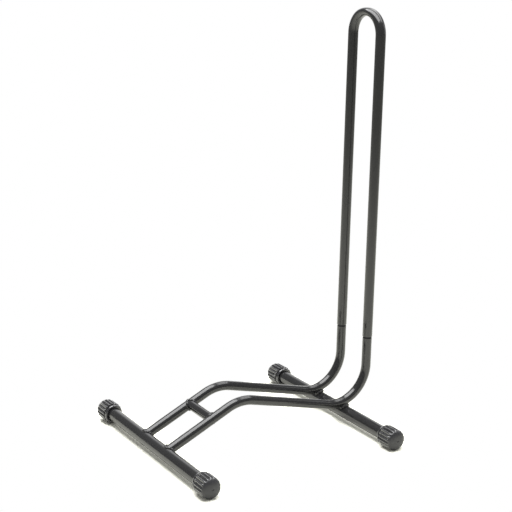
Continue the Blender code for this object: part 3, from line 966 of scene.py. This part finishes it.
def build_stand():
    """All the pieces of the stand, each over its own solid."""
    bar_cutter = build_bar_cutter(0.0)
    rail_cutters = [build_rail_cutter(-rail_x), build_rail_cutter(rail_x)]
    for word, side in (("left", -1), ("right", 1)):
        rail = build_rail(f"{word}_rail_tube", side * rail_x, bar_cutter)
        dress(rail, powder_coat, "base", "frame_paint", f"{word}_rail")
    brace = build_brace("cross_brace_tube", rail_cutters)
    dress(brace, powder_coat, "base", "frame_paint", "cross_brace")
    for cutter in [bar_cutter, *rail_cutters]:
        bpy.data.objects.remove(cutter, do_unlink=True)
    for word, side_y in (("front", 0.0), ("rear", BAR_SPACING)):
        bar = build_bar(f"{word}_bar_tube", side_y)
        dress(bar, powder_coat, "base", "frame_paint", f"{word}_crossbar")
    hoop = build_hoop("wheel_hoop_tube")
    dress(hoop, powder_coat, "hoop", "hoop_paint", "wheel_hoop")
    cap = build_cap("front_right_foot_cap")
    copies = {
        "front_right_cap": cap,
        "front_left_cap": copy_cap(cap, "front_left_foot_cap", True, 0.0),
        "rear_right_cap": copy_cap(cap, "rear_right_foot_cap", False, BAR_SPACING),
        "rear_left_cap": copy_cap(cap, "rear_left_foot_cap", True, BAR_SPACING),
    }
    for node, piece in copies.items():
        dress(piece, cap_plastic, "base", "cap_plastic", node)
    for node, bead in build_beads().items():
        dress(bead, weld_coat, "base", "weld_paint", node)


def distance_from_bar(tree, across, along, bar_y):
    """Distance on the floor from the line below a floor bar."""
    beside = add_math(tree, "SUBTRACT", along, bar_y)
    from_middle = add_math(tree, "ABSOLUTE", across, 0.0)
    past_end = add_math(tree, "SUBTRACT", from_middle, SHADOW_ZONE_HALF_LENGTH)
    past_end = add_math(tree, "MAXIMUM", past_end, 0.0)
    squares = add_math(tree, "MULTIPLY", beside, beside)
    squares = add_math(tree, "ADD", squares, add_math(tree, "MULTIPLY", past_end, past_end))
    return add_math(tree, "SQRT", squares, 0.0)


def build_floor():
    """White floor whose shadows show near the floor bars, and which is plain white beyond."""
    deselect_all()
    bpy.ops.mesh.primitive_plane_add(size=FLOOR_SIZE, location=(0.0, 0.0, 0.0))
    floor = take_name("studio_floor")
    material = bpy.data.materials.new("studio_floor_white")
    material.use_nodes = True
    tree = material.node_tree
    tree.nodes.remove(tree.nodes["Principled BSDF"])
    rays = tree.nodes.new("ShaderNodeLightPath")
    glossy = rays.outputs["Is Glossy Ray"]
    mirrored = add_math(tree, "MAXIMUM", glossy, rays.outputs["Is Transmission Ray"])
    mirrored = add_math(tree, "MULTIPLY", mirrored, FLOOR_GLOSS_GAIN - 1.0)
    seen = add_math(tree, "MULTIPLY", rays.outputs["Is Camera Ray"], FLOOR_SEEN_GAIN - 1.0)
    gain = add_math(tree, "ADD", add_math(tree, "MAXIMUM", mirrored, seen), 1.0)
    colour = tree.nodes.new("ShaderNodeVectorMath")
    colour.operation = "SCALE"
    colour.inputs["Vector"].default_value = FLOOR_COLOUR
    tree.links.new(gain, colour.inputs["Scale"])
    matte = tree.nodes.new("ShaderNodeBsdfDiffuse")
    tree.links.new(colour.outputs["Vector"], matte.inputs["Color"])
    white = tree.nodes.new("ShaderNodeEmission")
    spot = tree.nodes.new("ShaderNodeSeparateXYZ")
    tree.links.new(object_place(tree), spot.inputs["Vector"])
    away = [
        distance_from_bar(tree, spot.outputs["X"], spot.outputs["Y"], front_bar_y + side_y)
        for side_y in (0.0, BAR_SPACING)
    ]
    edge = tree.nodes.new("ShaderNodeMapRange")
    edge.interpolation_type = "SMOOTHSTEP"
    edge.inputs["From Min"].default_value = PLAIN_WHITE_FROM
    edge.inputs["From Max"].default_value = PLAIN_WHITE_AT
    tree.links.new(add_math(tree, "MINIMUM", *away), edge.inputs["Value"])
    beyond = add_math(tree, "MULTIPLY", edge.outputs["Result"], rays.outputs["Is Camera Ray"])
    ends = tree.nodes.new("ShaderNodeMixShader")
    tree.links.new(beyond, ends.inputs["Fac"])
    tree.links.new(matte.outputs["BSDF"], ends.inputs[1])
    tree.links.new(white.outputs["Emission"], ends.inputs[2])
    tree.links.new(ends.outputs["Shader"], tree.nodes["Material Output"].inputs["Surface"])
    floor.data.materials.append(material)


def build_world():
    """White to the camera. All else sees a soft grey room with a white sweep behind the stand."""
    world = bpy.data.worlds.new("studio_room")
    bpy.context.scene.world = world
    world.use_nodes = True
    tree = world.node_tree
    room = tree.nodes["Background"]
    room.inputs["Color"].default_value = (1.0, 1.0, 1.0, 1.0)
    spot = tree.nodes.new("ShaderNodeTexCoord")
    towards = tree.nodes.new("ShaderNodeVectorMath")
    towards.operation = "DOT_PRODUCT"
    tree.links.new(spot.outputs["Generated"], towards.inputs[0])
    towards.inputs[1].default_value = SWEEP_DIRECTION
    sweep = tree.nodes.new("ShaderNodeMapRange")
    sweep.interpolation_type = "SMOOTHSTEP"
    sweep.inputs["From Min"].default_value = SWEEP_EDGE[0]
    sweep.inputs["From Max"].default_value = SWEEP_EDGE[1]
    sweep.inputs["To Min"].default_value = ROOM_SEEN
    sweep.inputs["To Max"].default_value = SWEEP_LEVEL
    tree.links.new(towards.outputs["Value"], sweep.inputs["Value"])
    rays = tree.nodes.new("ShaderNodeLightPath")
    lit = add_math(tree, "MULTIPLY", rays.outputs["Is Diffuse Ray"], ROOM_LIGHT)
    lift = add_math(tree, "MAXIMUM", rays.outputs["Is Camera Ray"], lit)
    strength = add_math(tree, "MAXIMUM", sweep.outputs["Result"], lift)
    tree.links.new(strength, room.inputs["Strength"])


def add_softbox(name, spot, target, width, height, watts):
    """Rectangular lamp that faces a target."""
    aim = (Vector(target) - Vector(spot)).to_track_quat("-Z", "Y").to_euler()
    bpy.ops.object.light_add(type="AREA", location=spot, rotation=aim)
    lamp = bpy.context.active_object
    lamp.name = name
    lamp.data.name = name
    lamp.data.shape = "RECTANGLE"
    lamp.data.size = width
    lamp.data.size_y = height
    lamp.data.energy = watts


def build_lights():
    deselect_all()
    for softbox in SOFTBOXES:
        add_softbox(*softbox)


def build_camera():
    """Camera with a long lens and no roll, at the photograph's place and angle."""
    deselect_all()
    bpy.ops.object.camera_add(location=CAMERA_PLACE)
    camera = bpy.context.active_object
    camera.name = "studio_camera"
    camera.rotation_mode = "QUATERNION"
    camera.rotation_quaternion = (-Vector(CAMERA_BACK)).to_track_quat("-Z", "Y")
    camera.data.lens = CAMERA_LENS
    camera.data.sensor_width = CAMERA_SENSOR
    camera.data.sensor_fit = "HORIZONTAL"
    bpy.context.scene.camera = camera


build_camera()
build_stand()
build_floor()
build_world()
build_lights()
bpy.context.scene.view_settings.view_transform = "Standard"
